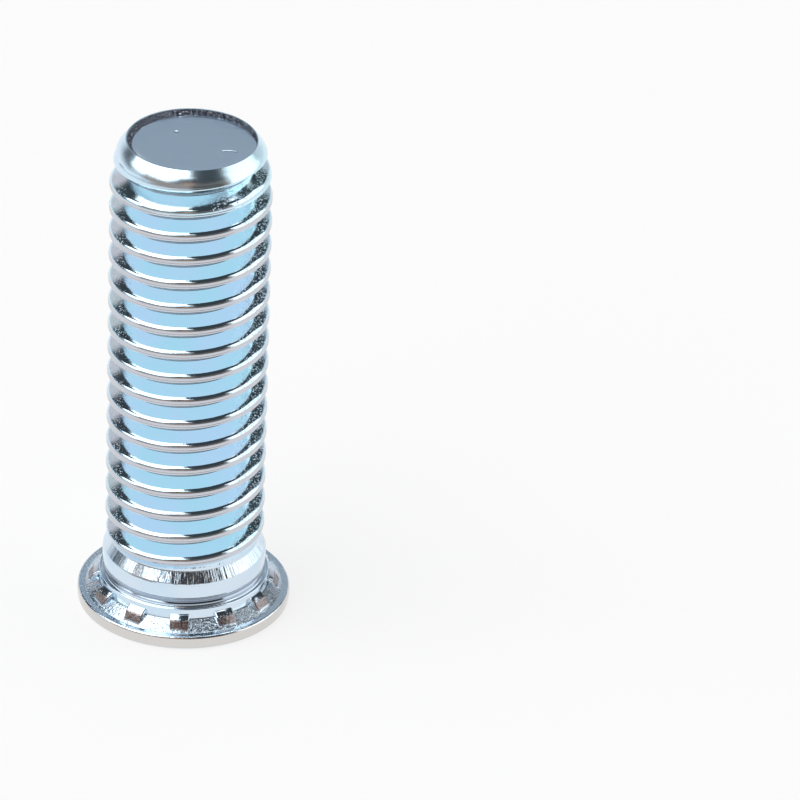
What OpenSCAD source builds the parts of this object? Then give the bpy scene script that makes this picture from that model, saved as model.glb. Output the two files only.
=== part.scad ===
// Self-clinching stud with an M5 x 0.8 thread, nominal length 16 mm, in one piece.
// It stands on its head with the thread up +Z. The origin is the centre of the head's outer face.
// The head is flat and thin. Ribs and an undercut lock the pressed-in stud in a sheet.

/* [Head] */
// Diameter of the head
head_d = 6.52; // [6.2:0.02:7.2]
// Thickness of the head beside the ribs
head_t = 0.43; // [0.3:0.01:0.8]
// Radius of the rim at the outer face
face_round = 0.12; // [0.04:0.01:0.14]
// Radius of the rim on the rib side
back_round = 0.1; // [0.04:0.01:0.14]

/* [Ribs] */
// Number of clinching ribs
rib_count = 12; // [6:1:16]
// Width of a rib along the rim
rib_w = 0.62; // [0.4:0.02:0.9]
// Diameter over the outer faces of the ribs, measured at the head
rib_d = 5.94; // [5.7:0.02:6.1]
// Lean of a rib's outer face: the amount by which it is drawn in at its top
rib_lean = 0.18; // [0.02:0.01:0.2]
// Height of a rib above the head where it meets the shoulder
rib_h = 0.44; // [0.3:0.01:0.5]
// Drop of a rib's top towards its outer face
rib_drop = 0.12; // [0.02:0.01:0.2]

/* [Shoulder and undercut] */
// Diameter of the shoulder that carries the ribs, measured at the head
shoulder_d = 5.22; // [5.14:0.02:5.4]
// Height of the shoulder above the head
shoulder_h = 0.6; // [0.56:0.01:0.9]
// Draft of the shoulder: the amount by which its wall leans in up to its upper edge
shoulder_draft = 0.02; // [0.01:0.01:0.05]
// Radius of the shoulder's upper edge
shoulder_round = 0.04; // [0.01:0.01:0.06]
// Height of the cone between the ribs at the shoulder's foot
foot_h = 0.27; // [0.05:0.01:0.3]
// Distance by which that cone reaches out over the head
foot_w = 0.4; // [0.1:0.01:0.45]
// Diameter of the undercut, a round groove, measured at its bottom
undercut_d = 4.8; // [4.7:0.02:4.9]
// Height of the undercut
undercut_h = 0.34; // [0.22:0.01:0.6]

/* [Shank and neck] */
// Diameter of the plain shank, which fills the hole in the sheet
shank_d = 5; // [4.98:0.01:5.06]
// Height of the plain shank
shank_h = 0.36; // [0.2:0.01:1]
// Amount by which the shank's upper edge is turned in
edge_in = 0.03; // [0.01:0.01:0.06]
// Height of the shank's turned-in edge
edge_h = 0.1; // [0.05:0.01:0.2]
// Diameter of the neck below the thread, which is that of the blank
neck_d = 4.48; // [4.4:0.02:4.6]
// Height of the cone between shank and neck
flare_h = 0.36; // [0.2:0.01:0.6]

/* [Thread] */
// Length from the head's outer face to the end of the thread
stud_l = 15.8; // [8:0.2:30]
// Diameter over the thread crests
thread_d = 4.86; // [4.83:0.01:4.94]
// Distance from one crest to the next
thread_pitch = 0.8; // [0.6:0.05:1]
// Width of the flat on a thread crest
crest_w = 0.16; // [0.08:0.01:0.18]
// Height over which the thread grows out of the neck
run_out_h = 0.28; // [0.2:0.02:0.8]
// Diameter of the flat end
end_d = 3.94; // [3.4:0.02:4.1]
// Slope of the bevelled end against the flat end
end_angle = 51; // [30:1:60]
// Amount by which a crest would be lower right at the flat end
tip_drop = 0.22; // [0:0.02:0.34]
// Distance from the flat end at which the crests have their full diameter
tip_h = 1.4; // [0.4:0.1:2.4]

/* [Dish in the end] */
// Depth of the shallow dish in the flat end, which thread rolling leaves
dish_depth = 0.14; // [0.04:0.01:0.2]
// Least thickness of the lip around the dish
lip_w = 0.04; // [0.04:0.01:0.2]
// Width of the dish's sloping wall
dish_wall = 0.1; // [0.02:0.01:0.2]
// Turn of the thread about the axis
thread_turn = 243; // [0:1:359]

/* [Hidden] */

// Straight pieces in one rounded corner of the turned outline
corner_steps = 4;
// Facets of a turned surface
turned_facets = 96;
// Steps of the thread surface around one turn
turn_steps = 40;
// Depth by which one shape runs into its neighbour, so that they join
bite = 0.1;

// Levels of the turned outline, counted up from the head's outer face
shoulder_z = head_t + shoulder_h;
undercut_z = shoulder_z + undercut_h;
shank_z = undercut_z + shank_h;
edge_z = shank_z + edge_h;
neck_z = edge_z + flare_h;

head_r = head_d / 2;
rib_r = rib_d / 2;
shoulder_r = shoulder_d / 2;
undercut_r = undercut_d / 2;
shank_r = shank_d / 2;
// Half the angle of the undercut's arc, and the arc's radius
undercut_angle = 2 * atan((shank_r - undercut_r) / (undercut_h / 2));
undercut_round = undercut_h / 2 / sin(undercut_angle);
neck_r = neck_d / 2;
thread_r = thread_d / 2;
end_r = end_d / 2;

// Metric thread form: flanks at 60 degrees to each other, 0.6134 of a pitch deep
thread_depth = 0.6134 * thread_pitch;
root_r = thread_r - thread_depth;
flank_h = thread_depth * tan(30);
root_w = thread_pitch - crest_w - 2 * flank_h;

// The dish stays inside the flat end and inside the thread's roots
dish_r = min(end_r, root_r) - lip_w;

// The thread's core sits a little inside the neck, so that the two surfaces never coincide
core_inset = 0.07;
core_r = neck_r - core_inset;
core_z = neck_z - 3 * bite;
// A point of the thread surface that comes closer than this to a level keeps off it, or is laid
// onto it, which leaves no slivers there
snap = 0.035;

// One pitch of the thread form, bottom to top: height from the crest's middle, and radius
form = [
    [-crest_w / 2, thread_r],
    [crest_w / 2, thread_r],
    [crest_w / 2 + flank_h, root_r],
    [crest_w / 2 + flank_h + root_w, root_r]
];
rows = len(form);

// The helix starts this many turns below the core's lower end and stops one turn above the stud's end,
// and what lies beyond an end is laid flat onto it
lead_in = 1.25;
helix_z = core_z - lead_in * thread_pitch;
steps = ceil(((stud_l - helix_z) / thread_pitch + 1) * turn_steps);

// Points of a round corner from angle a to angle b
function corner(centre, radius, a, b, steps = corner_steps) =
    [for (i = [0 : steps])
        let (t = a + (b - a) * i / steps)
        centre + radius * [cos(t), sin(t)]];

// Half section of the head, shoulder, undercut, shank and flare: distance from the axis, and height
function turned_outline() = concat(
    [[0, 0]],
    corner([head_r - face_round, face_round], face_round, -90, 0),
    corner([head_r - back_round, head_t - back_round], back_round, 0, 90),
    [[shoulder_r + foot_w, head_t], [shoulder_r, head_t + foot_h]],
    corner([shoulder_r - shoulder_draft - shoulder_round, shoulder_z - shoulder_round],
        shoulder_round, 0, 90),
    corner([undercut_r + undercut_round, (shoulder_z + undercut_z) / 2], undercut_round,
        180 + undercut_angle, 180 - undercut_angle, 2 * corner_steps),
    [[shank_r, shank_z], [shank_r - edge_in, edge_z], [neck_r, neck_z], [0, neck_z]]
);

// Share of the full thread form at a height: 0 at the neck, 1 above the run-out
function grown(z) = min(1, max(0, (z - neck_z) / run_out_h));

// Radius of the thread surface for one point of the form, inside the cone of the bevelled end
// and the slighter cone of the low first crests
function thread_radius(z, form_r) =
    let (bevel = end_r + (stud_l - z) / tan(end_angle))
    let (first_crests = thread_r - tip_drop * (1 - (stud_l - z) / tip_h))
    min(core_r + (form_r - core_r) * grown(z), bevel, first_crests);

// Height of a helix point, kept off the neck's level. Row number rows is row 0 of the next turn.
function helix_height(step, row) =
    let (z = helix_z + thread_pitch * (step / turn_steps + floor(row / rows)) + form[(row + rows) % rows][0])
    abs(z - neck_z) < snap ? neck_z + (z < neck_z ? -snap : snap) : z;

// Is a helix point past the upper end, or past the lower one?
function above(step, row) = helix_height(step, row) > stud_l - snap;
function below(step, row) = helix_height(step, row) < core_z + snap;

// Distance from the axis and height of a surface point. Points past an end lie on its flat face,
// and the first of them lies on the face's edge.
function surface_point(step, row) =
    let (z = helix_height(step, row))
    above(step, row) ? [above(step, row - 1) ? end_r - (z - stud_l) : end_r, stud_l]
    : below(step, row) ? [below(step, row + 1) ? core_r - (core_z - z) : core_r, core_z]
    : [thread_radius(z, form[row][1]), z];

// Place of a surface point in the list of points
function at(step, row) = row < rows ? step * rows + row : (step + turn_steps) * rows;

module turned_body() {
    rotate_extrude($fn = turned_facets)
        polygon(turned_outline());
}

module rib() {
    low = head_t - bite;
    top = head_t + rib_h;
    inner = shoulder_r - bite;
    rotate([90, 0, 0])
        linear_extrude(rib_w, center = true)
            polygon([[inner, low], [rib_r, low], [rib_r, head_t], [rib_r - rib_lean, top - rib_drop],
                [shoulder_r, top], [inner, top]]);
}

module ribs() {
    for (i = [0 : rib_count - 1])
        rotate([0, 0, i * 360 / rib_count - 90])
            rib();
}

module thread() {
    points = [for (step = [0 : steps], row = [0 : rows - 1])
        let (p = surface_point(step, row), turn = thread_turn + 360 * step / turn_steps)
        [p[0] * cos(turn), p[0] * sin(turn), p[1]]];
    sides = [for (step = [0 : steps - 1], row = [0 : rows - 1])
        if (row < rows - 1 || step < steps - turn_steps)
            each [[at(step, row), at(step, row + 1), at(step + 1, row)],
                [at(step, row + 1), at(step + 1, row + 1), at(step + 1, row)]]];
    lower_face = concat([for (step = [0 : turn_steps]) at(step, 0)],
        [for (row = [rows - 1 : -1 : 1]) at(0, row)]);
    upper_face = concat([for (row = [0 : rows - 1]) at(steps, row)],
        [for (step = [steps - 1 : -1 : steps - turn_steps]) at(step, rows - 1)]);
    polyhedron(points, concat(sides, [lower_face, upper_face]), convexity = 10);
}

module dish() {
    translate([0, 0, stud_l - dish_depth])
        cylinder(h = 2 * dish_depth, r1 = dish_r - dish_wall, r2 = dish_r + dish_wall, $fn = turned_facets);
}

module stud() {
    color([0.76, 0.81, 0.87])
        difference() {
            union() {
                turned_body();
                ribs();
                thread();
            }
            dish();
        }
}

stud();
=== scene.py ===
"""Looks of the self-clinching stud: turned head and shank, clinching ribs, rolled thread and zinc plating.

Lengths are in millimetres and heights are counted up from the head's outer face, until a finished mesh is
brought to metres. Half sections are lists of (distance from the axis, height).
"""

from math import atan2, ceil, cos, pi, radians, sin, tan

import bmesh
import bpy
from mathutils import Matrix, Vector, noise


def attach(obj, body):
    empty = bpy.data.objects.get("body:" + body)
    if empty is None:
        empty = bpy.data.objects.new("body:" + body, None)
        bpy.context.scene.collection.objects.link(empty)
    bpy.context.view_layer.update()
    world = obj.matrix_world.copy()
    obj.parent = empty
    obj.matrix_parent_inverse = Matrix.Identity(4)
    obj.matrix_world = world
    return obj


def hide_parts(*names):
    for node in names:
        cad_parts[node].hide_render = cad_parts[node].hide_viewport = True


MM = 0.001

# Head and ribs
HEAD_R = 3.26
HEAD_T = 0.43
RIB_COUNT = 12
RIB_W = 0.62
RIB_R = 2.97
RIB_LEAN = 0.18
RIB_H = 0.44
RIB_DROP = 0.12
RIB_TAPER = 0.12
RIB_BITE = 0.1
RIB_EDGE = 0.05
RIB_WEAR = 0.02

# Shoulder with the cone at its foot, undercut, shank and neck
FOOT_W = 0.4
FOOT_H = 0.27
SHOULDER_R = 2.61
SHOULDER_DRAFT = 0.02
SHOULDER_Z = 1.03
UNDERCUT_R = 2.4
UNDERCUT_Z = 1.37
SHANK_R = 2.5
SHANK_Z = 1.73
NECK_R = 2.24
NECK_Z = 2.19

# Thread
STUD_L = 15.8
CREST_R = 2.43
PITCH = 0.8
CREST_LOW = -0.055
CREST_HIGH = 0.137
ROOT_APEX_R = 1.915
ROOT_R = 1.95
RUN_OUT = 0.28
FIRST_CREST_Z = 2.53
THREAD_FOOT = 0.2

# Dished end
END_R = 1.965
BEVEL_SLOPE = 0.85
ROLLED_STEP = 0.1
ROLLED_SLOPE = 0.45
TIP_DROP = 0.225
TIP_H = 1.4
GROOVE_FILL = 0.1
GROOVE_START = 0.36
GROOVE_SLOPE = 1.7
DISH_DEPTH = 0.15
DISH_MIDDLE = (0.07, -0.05)
DISH_WEAR = 0.03
# Rings of the dish wall from the lip down: distance inwards, share of the depth, raggedness
DISH_RINGS = ((0.025, 0, 0), (0.05, 0.3, 0.3), (0.09, 0.65, 1), (0.12, 0.9, 1), (0.13, 1, 0))

# Steps around the thread and around the turned shape, and the distance at which points are merged
TURN_STEPS = 144
TURNED_STEPS = 288
MERGE = 0.0005

# With the seed, the wear of the ribs and the torn dish wall come out the same each run
NOISE_SEED = 25


# Mesh making


def rounded(corners, arc_step=14, margin=0.012):
    """Outline through corners (x, z, radius), with an arc of that radius at each corner."""
    outline = []
    for before, (x, z, radius), after in zip(corners[:-2], corners[1:-1], corners[2:]):
        here = Vector((x, z))
        if not radius:
            outline.append(here)
            continue
        back = Vector(before[:2]) - here
        ahead = Vector(after[:2]) - here
        half = back.angle(ahead) / 2
        reach = radius / tan(half)
        centre = here + (back.normalized() + ahead.normalized()).normalized() * radius / sin(half)
        spoke = here + back.normalized() * reach - centre
        last = here + ahead.normalized() * reach - centre
        turn = atan2(spoke.cross(last), spoke.dot(last))
        steps = max(2, ceil(abs(turn) / radians(arc_step)))
        if back.length > 3 * (reach + margin):
            outline.append(here + back.normalized() * (reach + margin))
        for i in range(steps + 1):
            outline.append(centre + Matrix.Rotation(turn * i / steps, 2) @ spoke)
        if ahead.length > 3 * (reach + margin):
            outline.append(here + ahead.normalized() * (reach + margin))
    return outline


def section(bm, outline):
    """Edges along a half section that stands in the plane of X and Z."""
    points = [bm.verts.new((x, 0, z)) for x, z in outline]
    edges = [bm.edges.new(pair) for pair in zip(points, points[1:])]
    return points + edges


def finished(bm, name, material, sharp=38):
    """The piece made of a mesh in millimetres: closed, facing outwards, smooth except at sharp edges."""
    bmesh.ops.recalc_face_normals(bm, faces=bm.faces)
    bmesh.ops.transform(bm, matrix=Matrix.Scale(MM, 4), verts=bm.verts)
    mesh = bpy.data.meshes.new(name)
    bm.to_mesh(mesh)
    bm.free()
    mesh.shade_smooth()
    mesh.set_sharp_from_angle(angle=radians(sharp))
    piece = bpy.data.objects.new(name, mesh)
    bpy.context.scene.collection.objects.link(piece)
    mesh.materials.append(material)
    return piece


def on_the_stud(piece):
    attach(piece, "root")
    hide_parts("stud")


def turned_head(material):
    """Head, shoulder, undercut, shank, flare and neck as one turned shape."""
    groove_mid = (SHOULDER_Z + UNDERCUT_Z) / 2
    outline = [Vector((0, 0)), Vector((1.2, 0)), Vector((2.4, 0))] + rounded([
        (0, 0, 0),
        (HEAD_R - 0.01, 0, 0.1),
        (HEAD_R, HEAD_T / 2, 0.8),
        (HEAD_R - 0.01, HEAD_T, 0.085),
        (SHOULDER_R + FOOT_W, HEAD_T, 0.06),
        (SHOULDER_R, HEAD_T + FOOT_H, 0.03),
        (SHOULDER_R - SHOULDER_DRAFT, SHOULDER_Z, 0.035),
        (SHANK_R, SHOULDER_Z - 0.01, 0.02),
        (SHANK_R - 0.015, SHOULDER_Z + 0.035, 0.01),
        (SHANK_R - 0.05, SHOULDER_Z + 0.04, 0.01),
        (SHANK_R - 0.055, SHOULDER_Z + 0.085, 0.015),
        (UNDERCUT_R + 0.005, groove_mid - 0.03, 0.03),
        (UNDERCUT_R + 0.035, groove_mid + 0.02, 0.015),
        (UNDERCUT_R + 0.02, groove_mid + 0.06, 0.02),
        (UNDERCUT_R + 0.065, UNDERCUT_Z - 0.055, 0.015),
        (UNDERCUT_R + 0.05, UNDERCUT_Z - 0.025, 0.01),
        (SHANK_R, UNDERCUT_Z, 0.025),
        (SHANK_R, SHANK_Z + 0.05, 0.16),
        (NECK_R, NECK_Z - 0.02, 0.12),
        (NECK_R - 0.02, NECK_Z + 0.3, 0),
        (NECK_R - 0.3, NECK_Z + 0.35, 0),
        (0, NECK_Z + 0.35, 0),
    ]) + [Vector((0, NECK_Z + 0.35))]
    bm = bmesh.new()
    bmesh.ops.spin(bm, geom=section(bm, outline), cent=(0, 0, 0), axis=(0, 0, 1), dvec=(0, 0, 0),
                   angle=2 * pi, steps=TURNED_STEPS, use_merge=True, use_duplicate=False)
    bmesh.ops.remove_doubles(bm, verts=bm.verts, dist=MERGE)
    return finished(bm, "turned_head", material)


def ribs(material):
    """Clinching ribs around the shoulder: tops that slope outwards, leaning outer faces and worn edges."""
    low, top, inner = HEAD_T - RIB_BITE, HEAD_T + RIB_H, SHOULDER_R - RIB_BITE
    side = [(inner, low), (RIB_R, low), (RIB_R, HEAD_T), (RIB_R - RIB_LEAN, top - RIB_DROP),
            (SHOULDER_R, top), (inner, top)]
    bm = bmesh.new()
    for i in range(RIB_COUNT):
        corners = [bm.verts.new((x, -RIB_W / 2, z)) for x, z in side]
        face = bmesh.ops.contextual_create(bm, geom=corners)["faces"]
        made = bmesh.ops.extrude_face_region(bm, geom=face)["geom"]
        corners += [v for v in made if isinstance(v, bmesh.types.BMVert)]
        bmesh.ops.translate(bm, vec=(0, RIB_W, 0), verts=corners[len(side):])
        for v in corners:
            v.co.y *= 1 - RIB_TAPER * (v.co.x - inner)
            if v.co.z > HEAD_T - RIB_BITE / 2:
                v.co += noise.noise_vector(v.co * 3 + Vector((i, 0, 0))) * RIB_WEAR
        edges = list(dict.fromkeys(e for v in corners for e in v.link_edges))
        worn = bmesh.ops.bevel(bm, geom=edges, offset=RIB_EDGE, offset_type="OFFSET", segments=3,
                               profile=0.5, affect="EDGES", material=-1, clamp_overlap=True)
        shape = list({v for f in worn["faces"] for v in f.verts})
        turn = Matrix.Rotation(2 * pi * i / RIB_COUNT - pi / 2, 4, "Z")
        bmesh.ops.transform(bm, matrix=turn, verts=shape)
    return finished(bm, "ribs", material, sharp=60)


def least(a, b, blend):
    """The smaller of two values, rounded over where they are nearly the same."""
    share = max(0, min(1, 0.5 + (b - a) / (2 * blend)))
    return a * share + b * (1 - share) - blend * share * (1 - share)


def thread_radius(r, z):
    """Distance of a thread point from the axis.

    It is less where the thread starts and under the bevelled end, whose two cones blend into each other.
    Close to the end the groove fills up.
    """
    core = NECK_R - 0.03
    grown = max(0, min(1, (z - NECK_Z) / RUN_OUT))
    down = STUD_L - z
    crest_share = 1 - TIP_DROP * max(0, 1 - down / TIP_H) / (CREST_R - ROOT_R)
    lowered = ROOT_R + (core + (r - core) * grown - ROOT_R) * crest_share
    bevel = END_R + BEVEL_SLOPE * down
    rolled = END_R + ROLLED_STEP + ROLLED_SLOPE * down
    cone = least(bevel, rolled, 0.05)
    filled = cone + GROOVE_FILL - GROOVE_SLOPE * max(0, down - GROOVE_START)
    return least(-least(-lowered, -filled, 0.02), cone, 0.03)


def thread(material):
    """The rolled thread: one half section with every crest, turned once while it climbs by one pitch."""
    lowest = FIRST_CREST_Z - PITCH / 4 - 3 * PITCH
    crests = ceil((STUD_L - lowest) / PITCH) + 2
    corners = []
    for i in range(crests):
        z = lowest + i * PITCH
        corners += [
            (CREST_R, z + CREST_LOW, 0.045),
            (CREST_R, z - 0.012, 0),
            (CREST_R - 0.006, z, 0),
            (CREST_R, z + 0.012, 0),
            (CREST_R, z + CREST_HIGH, 0.195),
            (ROOT_APEX_R, z + (CREST_LOW + CREST_HIGH + PITCH) / 2, 0.035),
        ]
    bm = bmesh.new()
    turn = Matrix.Rotation(-pi, 3, "Z")
    geometry = section(bm, rounded(corners))
    bmesh.ops.rotate(bm, cent=(0, 0, 0), matrix=turn, verts=bm.verts)
    bmesh.ops.spin(bm, geom=geometry, cent=(0, 0, 0), axis=(0, 0, 1), dvec=(0, 0, PITCH / TURN_STEPS),
                   angle=2 * pi, steps=TURN_STEPS, use_merge=False, use_duplicate=False)
    bmesh.ops.remove_doubles(bm, verts=bm.verts, dist=MERGE)
    long_flanks = [e for e in bm.edges if min(v.co.z for v in e.verts) > STUD_L - TIP_H
                   and abs(Vector(e.verts[0].co.xy).cross(Vector(e.verts[1].co.xy))) < 1e-4
                   and e.calc_length() > 0.1]
    bmesh.ops.subdivide_edges(bm, edges=long_flanks, cuts=12, use_grid_fill=True)
    for v in bm.verts:
        r = v.co.xy.length
        v.co.xy *= thread_radius(r, v.co.z) / r
    bmesh.ops.bisect_plane(bm, geom=bm.verts[:] + bm.edges[:] + bm.faces[:], dist=1e-5,
                           plane_co=(0, 0, NECK_Z - THREAD_FOOT), plane_no=(0, 0, -1), clear_outer=True)
    bmesh.ops.bisect_plane(bm, geom=bm.verts[:] + bm.edges[:] + bm.faces[:], dist=1e-5,
                           plane_co=(0, 0, STUD_L), plane_no=(0, 0, 1), clear_outer=True)
    dish_end(bm)
    bmesh.ops.holes_fill(bm, edges=[e for e in bm.edges if e.is_boundary], sides=0)
    return finished(bm, "thread", material)


def dish_end(bm):
    """Sinks the end face behind a thin lip. The dish lies off the middle and has a rough wall."""
    rim = [e for e in bm.edges if e.is_boundary and e.verts[0].co.z > STUD_L / 2]
    for inward, sunk, ragged in DISH_RINGS:
        made = bmesh.ops.extrude_edge_only(bm, edges=rim)["geom"]
        rim = [g for g in made if isinstance(g, bmesh.types.BMEdge)]
        for v in (g for g in made if isinstance(g, bmesh.types.BMVert)):
            outward = Vector(v.co.xy).normalized()
            rough = noise.noise_vector(Vector((*outward, sunk)) * 14) * DISH_WEAR * ragged
            v.co.xy = outward * (END_R - inward + rough.x) + Vector(DISH_MIDDLE) * sunk
            v.co.z = STUD_L - DISH_DEPTH * sunk + rough.z


# Materials


class Value:
    """A shader socket. Arithmetic on it adds the Math nodes that work it out."""

    def __init__(self, shader, socket):
        self.shader, self.socket = shader, socket

    def math(self, operation, *others):
        return self.shader.math(operation, self, *others)

    def __add__(self, other):
        return self.math("ADD", other)

    def __sub__(self, other):
        return self.math("SUBTRACT", other)

    def __rsub__(self, other):
        return self.shader.math("SUBTRACT", other, self)

    def __mul__(self, other):
        return self.math("MULTIPLY", other)

    def __truediv__(self, other):
        return self.math("DIVIDE", other)

    def __abs__(self):
        return self.math("ABSOLUTE")

    __radd__ = __add__
    __rmul__ = __mul__


class Shader:
    """Nodes of one material or world."""

    def __init__(self, owner):
        owner.use_nodes = True
        self.tree = owner.node_tree
        self.tree.nodes.clear()

    def node(self, kind, settings=None, sockets=None, out=0):
        """Adds a node: settings first, then the values or links of its sockets. Returns one output."""
        node = self.tree.nodes.new("ShaderNode" + kind)
        for name, value in (settings or {}).items():
            setattr(node, name, value)
        for name, value in (sockets or {}).items():
            if isinstance(value, Value):
                self.tree.links.new(value.socket, node.inputs[name])
            else:
                node.inputs[name].default_value = value
        return Value(self, node.outputs[out]) if node.outputs else node

    def math(self, operation, *values):
        return self.node("Math", {"operation": operation}, dict(enumerate(values)))

    def smooth(self, value, low, high):
        """0 below low, 1 above high, with a smooth step between. Low may be the greater one."""
        return self.node("MapRange", {"interpolation_type": "SMOOTHSTEP"},
                         {"Value": value, "From Min": low, "From Max": high})

    def mix(self, share, a, b):
        """Colour a where share is 0, b where it is 1."""
        return self.node("Mix", {"data_type": "RGBA"}, {0: share, 6: a, 7: b}, out=2)

    def dot(self, a, b):
        return self.node("VectorMath", {"operation": "DOT_PRODUCT"}, {0: a, 1: b}, out=1)

    def noise(self, place, scale, detail=2, roughness=0.5):
        return self.node("TexNoise", None, {"Vector": place, "Scale": scale, "Detail": detail,
                                            "Roughness": roughness})


def zinc():
    """Bright clear zinc plating: blue on the rolled flanks, greyer where crests and rim are rubbed."""
    material = bpy.data.materials.new("zinc_plate")
    s = Shader(material)
    place = s.node("VectorMath", {"operation": "SCALE"},
                   {0: s.node("TexCoord", out=3), "Scale": 1 / MM})
    x, y, z = (s.node("SeparateXYZ", None, {0: place}, out=i) for i in range(3))
    r = (x * x + y * y).math("SQRT")

    on_thread = s.smooth(z, 2.25, 2.4)
    crest = s.smooth(r, CREST_R - 0.03, CREST_R - 0.01) * on_thread
    # Painted shade: the thread's roots between the crests get a darker colour
    root = s.smooth(r, 1.97, 1.95) * on_thread * s.smooth(z, STUD_L - 0.3, STUD_L - 0.35)
    rim = s.smooth(r, HEAD_R - 0.035, HEAD_R - 0.015) * (1 - on_thread)
    inside = s.smooth(r, END_R, END_R - 0.01) * s.smooth(z, STUD_L - 0.3, STUD_L - 0.2)
    floor_z = STUD_L - DISH_DEPTH
    # The dish wall: its bump below is real roughness, its dark colour is painted shade
    wall = inside * s.smooth(z, floor_z + 0.001, floor_z + 0.004) * s.smooth(z, STUD_L - 0.002, STUD_L - 0.02)
    floor = inside * s.smooth(z, floor_z + 0.004, floor_z + 0.001)
    valley = s.smooth(r, 2.62, 2.66) * s.smooth(z, 0.8, 0.7) * (1 - rim)
    foot_z = HEAD_T + FOOT_H
    above_foot = z - foot_z + (r - SHOULDER_R) * (FOOT_H / FOOT_W)
    # Painted shade: the ribs' leaning outer faces get a darker colour; the same mask adds bumps there
    shaded_rib_face = s.smooth(above_foot, 0.02, 0.04) * s.smooth(z, foot_z + 0.07, foot_z + 0.04)
    upright_r = r + (z - HEAD_T) * (RIB_LEAN / (RIB_H - RIB_DROP))
    shaded_rib_face = shaded_rib_face * s.smooth(upright_r, RIB_R - 0.05, RIB_R - 0.03)
    shaded_rib_face = shaded_rib_face * s.smooth(r, RIB_R + 0.03, RIB_R + 0.02)
    # Painted shade: a dark line along the crease where the cone at the shoulder's foot meets the shoulder
    crease_shade = s.smooth(abs(z - foot_z), 0.02, 0.008) * s.smooth(abs(r - SHOULDER_R), 0.03, 0.02)
    # Painted shade: the undercut groove under the shoulder gets a darker colour
    groove = s.smooth(r, 2.475, 2.44) * s.smooth(z, UNDERCUT_Z, UNDERCUT_Z - 0.02) * s.smooth(z, 1.0, 1.03)

    hue = s.noise(place, 0.5, 3)
    flank = s.mix(s.smooth(hue, 0.35, 0.65), (0.61, 0.84, 0.94, 1), (0.66, 0.82, 0.96, 1))
    body = s.mix(s.smooth(hue, 0.4, 0.6), (0.62, 0.77, 0.90, 1), (0.68, 0.79, 0.89, 1))
    colour = s.mix(on_thread, body, flank)
    colour = s.mix(crest, colour, (0.60, 0.62, 0.67, 1))
    # Painted shade in the thread's roots
    colour = s.mix(root, colour, (0.32, 0.40, 0.46, 1))
    colour = s.mix(rim, colour, (0.68, 0.66, 0.64, 1))
    colour = s.mix(floor, colour, (0.66, 0.80, 0.94, 1))
    crumbs = s.smooth(s.noise(place, 22, 4, 0.7), 0.5, 0.65)
    # Painted shade in the sunk dish: the wall is made nearly black, with paler flecks where the noise is high
    torn_wall_shade = s.mix(crumbs, (0.04, 0.05, 0.08, 1), (0.60, 0.64, 0.70, 1))
    colour = s.mix(wall, colour, torn_wall_shade)
    # Painted shade in the undercut groove
    colour = s.mix(groove, colour, (0.38, 0.45, 0.54, 1))
    # Painted shade on the ribs' outer faces
    colour = s.mix(shaded_rib_face, colour, (0.29, 0.26, 0.26, 1))
    # Painted shade along the shoulder's crease
    colour = s.mix(crease_shade, colour, (0.22, 0.24, 0.28, 1))

    cloud = s.noise(place, 9, 4, 0.6)
    grain = s.noise(place, 60, 3)
    flare = s.smooth(z, SHANK_Z + 0.05, SHANK_Z + 0.12) * s.smooth(z, NECK_Z + 0.15, NECK_Z + 0.02)
    speckle = s.smooth(s.noise(place, 19, 2), 0.58, 0.7)
    aside = x + s.smooth(z, STUD_L - 1.5, STUD_L - 1.1) * 0.9
    patch = s.smooth(s.noise(place, 1.3, 2), 0.3, 0.45) * on_thread * (1 - crest) * (1 - flare)
    sides = s.smooth(aside, 1.5, 1.9) + s.smooth(x, -1.7, -2.1) * 0.15
    patch = patch * s.smooth(z, STUD_L - 0.4, STUD_L - 0.6) * sides
    bevel = s.smooth(z, STUD_L - 0.45, STUD_L - 0.3) * (1 - inside)
    rough = 0.07 + rim * 0.06 + floor * 0.12 + crest * 0.1 + bevel * 0.13
    rough = rough + s.smooth(cloud, 0.5, 0.75) * 0.05

    around = s.node("CombineXYZ", None, {0: x / r * 22, 1: y / r * 22, 2: z * 0.8})
    drawn = s.noise(around, 1, 3, 0.6)
    streaked = flare * (0.010 + s.smooth(x, -0.95, -0.5) * 0.032)
    uneven = valley * (1 - s.smooth(r, 2.98, 3.04) * 0.75)
    pitted = 0.002 + uneven * 0.016 + wall * 0.15
    spots = patch * 0.025 + uneven * 0.022 + shaded_rib_face * 0.03
    height = cloud * pitted + speckle * spots + grain * 0.0005 + drawn * streaked
    height = height + end_marks(s, x, y) * floor
    bump = s.node("Bump", None, {"Strength": 1.0, "Distance": MM, "Height": height})
    shader = s.node("BsdfPrincipled", None, {"Base Color": colour, "Metallic": 1.0, "Roughness": rough,
                                             "Normal": bump})
    s.node("OutputMaterial", None, {"Surface": shader})
    return material


def end_marks(s, x, y):
    """Height of the end's scratches, a curved nick and a small dent, in millimetres."""
    swirl = s.noise(s.node("CombineXYZ", None, {0: x * 0.5, 1: y * 3, 2: x * 0.4 + y * 0.3}), 1.5, 3)
    scratches = s.smooth(abs(swirl - 0.5), 0.012, 0.0) * 0.0013
    bend = y + 0.42 - (x * 7).math("SINE") * 0.06
    nick = s.smooth(abs(bend), 0.06, 0.0) * s.smooth(abs(x - 1.12), 0.32, 0.2)
    dent = s.smooth(abs(x + 0.49), 0.12, 0.02) * s.smooth(abs(y - 0.72), 0.08, 0.01)
    return (scratches + nick * 0.014 + dent * 0.018) * -1


# Studio

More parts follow.
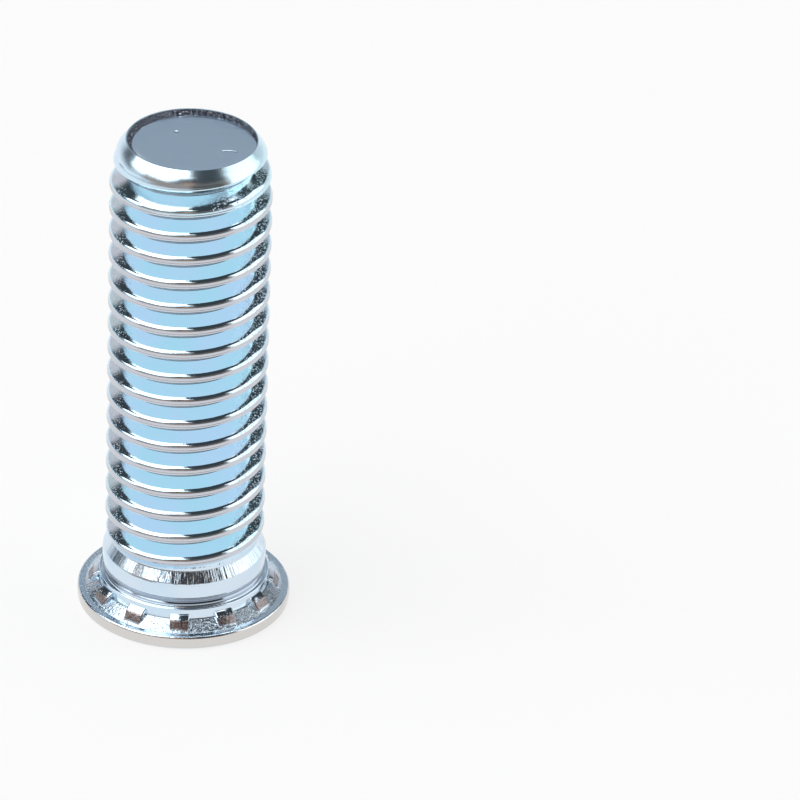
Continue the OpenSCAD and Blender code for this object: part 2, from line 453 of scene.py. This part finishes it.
# Panels of light and shade that the plating mirrors, each laid over those before it: azimuth, elevation,
# width, height, soft edge, slant and colour
PANELS = (
    (180, 78, 150, 34, 3, 0, (2.4, 2.4, 2.4, 1)),
    (180, 31, 62, 40, 6, 0, (0.36, 0.40, 0.44, 1)),
    (0, 16, 150, 20, 4, 0, (0.40, 0.31, 0.27, 1)),
    (27, 15, 50, 18, 6, 0, (0.12, 0.105, 0.095, 1)),
    (-2, 28, 18, 7, 3, 0, (0.7, 0.38, 0.25, 1)),
    (-116, 16, 36, 18, 6, 0, (0.10, 0.11, 0.12, 1)),
    (-148, 15, 18, 20, 6, 0, (0.72, 0.62, 0.61, 1)),
    (154, 12, 14, 16, 6, 0, (0.60, 0.58, 0.60, 1)),
    (-79, 65, 130, 38, 3, -1, (2.6, 2.6, 2.6, 1)),
    (-59, 39, 72, 22, 3, 1, (2.6, 2.6, 2.6, 1)),
    (-90, 27, 30, 16, 3, 0, (2.6, 2.6, 2.6, 1)),
    (92, 24, 60, 40, 3, 0, (1.6, 1.6, 1.6, 1)),
)


def direction(azimuth, elevation):
    """Unit vector at an azimuth, counted from the front towards the right, and an elevation in degrees."""
    a, e = radians(azimuth), radians(elevation)
    return Vector((sin(a) * cos(e), -cos(a) * cos(e), sin(e)))


def soft_panel(s, ray, azimuth, elevation, width, height, edge, slant):
    """1 where a ray from the stud meets a panel of light, else 0. All angles are in degrees.

    Slant is the turn to the right for each degree further up.
    """
    ahead = s.dot(ray, direction(azimuth, 0))
    aside = s.dot(ray, direction(azimuth + 90, 0))
    raised = s.dot(ray, Vector((0, 0, 1))).math("ARCSINE") * (180 / pi) - elevation
    across = aside.math("ARCTAN2", ahead) * (180 / pi) - raised * slant
    inside = s.smooth(abs(across), width / 2 + edge, width / 2 - edge)
    return inside * s.smooth(abs(raised), height / 2 + edge, height / 2 - edge)


def studio():
    """The surroundings: mirrored by the stud, but white where the camera looks past it."""
    world = bpy.data.worlds.new("studio")
    bpy.context.scene.world = world
    s = Shader(world)
    ray = s.node("TexCoord", out=0)
    up = s.node("SeparateXYZ", None, {0: ray}, out=2)
    light = s.mix(s.smooth(up, 0.17, 0.4), (0.75, 0.76, 0.78, 1), (0.05, 0.055, 0.06, 1))
    for *shape, colour in PANELS:
        light = s.mix(soft_panel(s, ray, *shape), light, colour)
    seen = s.node("LightPath", out=0)
    light = s.mix(seen, light, (1, 1, 1, 1))
    s.node("OutputWorld", None, {"Surface": s.node("Background", None, {"Color": light, "Strength": 1.0})})


def pale_floor():
    """The white ground under the stud, which keeps its soft shadow."""
    bm = bmesh.new()
    bmesh.ops.create_circle(bm, cap_ends=True, segments=96, radius=2)
    mesh = bpy.data.meshes.new("floor")
    bm.to_mesh(mesh)
    bm.free()
    floor = bpy.data.objects.new("floor", mesh)
    bpy.context.scene.collection.objects.link(floor)
    material = bpy.data.materials.new("pale_floor")
    s = Shader(material)
    plain = s.node("BsdfDiffuse", None, {"Color": (0.86, 0.86, 0.86, 1)})
    glow = s.node("Emission", None, {"Color": (1, 1, 1, 1), "Strength": 1.0})
    seen, mirrored = s.node("LightPath", out=0), s.node("LightPath", out=3)
    share = seen * 0.75 + mirrored * 0.8
    s.node("OutputMaterial", None, {"Surface": s.node("MixShader", None, {0: share, 1: plain, 2: glow})})
    mesh.materials.append(material)


def camera():
    """The view of the photograph: from the front, raised, tilted by a little roll."""
    elevation, roll = radians(30.22), radians(2.2)
    image, focal, sensor = 800, 6500, 36
    distance = 200
    # Where the centre of the head's outer face lies in the picture, in pixels
    foot = (183.32, 592.94)
    ahead = Vector((0, cos(elevation), -sin(elevation)))
    level = Vector((1, 0, 0))
    rise = Vector((0, sin(elevation), cos(elevation)))
    right = cos(roll) * level + sin(roll) * rise
    up = cos(roll) * rise - sin(roll) * level
    across = (foot[0] - image / 2) / focal * distance
    upward = -(foot[1] - image / 2) / focal * distance
    place = -(across * right + upward * up + distance * ahead) * MM
    data = bpy.data.cameras.new("camera")
    data.sensor_width = sensor
    data.lens = focal / image * sensor
    data.clip_start = 0.01
    eye = bpy.data.objects.new("camera", data)
    eye.matrix_world = Matrix.Translation(place) @ Matrix((right, up, -ahead)).transposed().to_4x4()
    bpy.context.scene.collection.objects.link(eye)
    bpy.context.scene.camera = eye


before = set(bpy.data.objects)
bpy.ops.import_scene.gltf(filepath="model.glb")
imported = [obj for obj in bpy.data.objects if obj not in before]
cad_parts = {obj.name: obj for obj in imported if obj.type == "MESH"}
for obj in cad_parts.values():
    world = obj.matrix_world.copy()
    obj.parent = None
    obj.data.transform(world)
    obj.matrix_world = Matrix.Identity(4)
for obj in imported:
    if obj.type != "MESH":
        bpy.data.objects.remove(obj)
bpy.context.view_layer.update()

bpy.context.scene.view_settings.view_transform = "Standard"
camera()
studio()
pale_floor()
plating = zinc()
noise.seed_set(NOISE_SEED)
for piece in (turned_head(plating), ribs(plating), thread(plating)):
    on_the_stud(piece)
